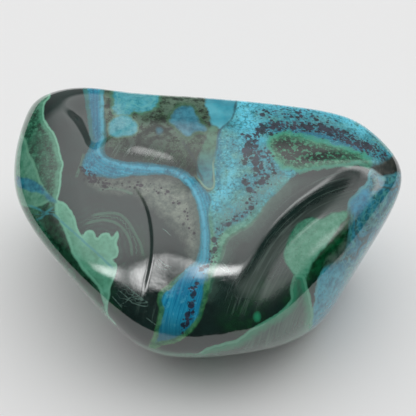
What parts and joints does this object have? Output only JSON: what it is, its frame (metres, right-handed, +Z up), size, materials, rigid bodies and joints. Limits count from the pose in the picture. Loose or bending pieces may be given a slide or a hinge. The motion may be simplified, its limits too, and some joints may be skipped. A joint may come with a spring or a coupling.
{
  "type": "polished free-form mineral specimen",
  "caption": "Hand-sized free-form stone of green malachite with blue chrysocolla veins, ground and polished all over, lying on its worn underside.",
  "frame": {"origin": "middle of the stone's box, on the plane it lies on", "axes": "+Z up, +X along the stone's length, -Y towards the side whose crown slopes down to the viewer"},
  "size_m": [0.0714, 0.0482, 0.0344],
  "materials": {
    "polished_stone": "polished to a wet gloss, with fine scratches"
  },
  "bodies": {
    "root": {"stone": "polished_stone"}
  },
  "joints": []
}
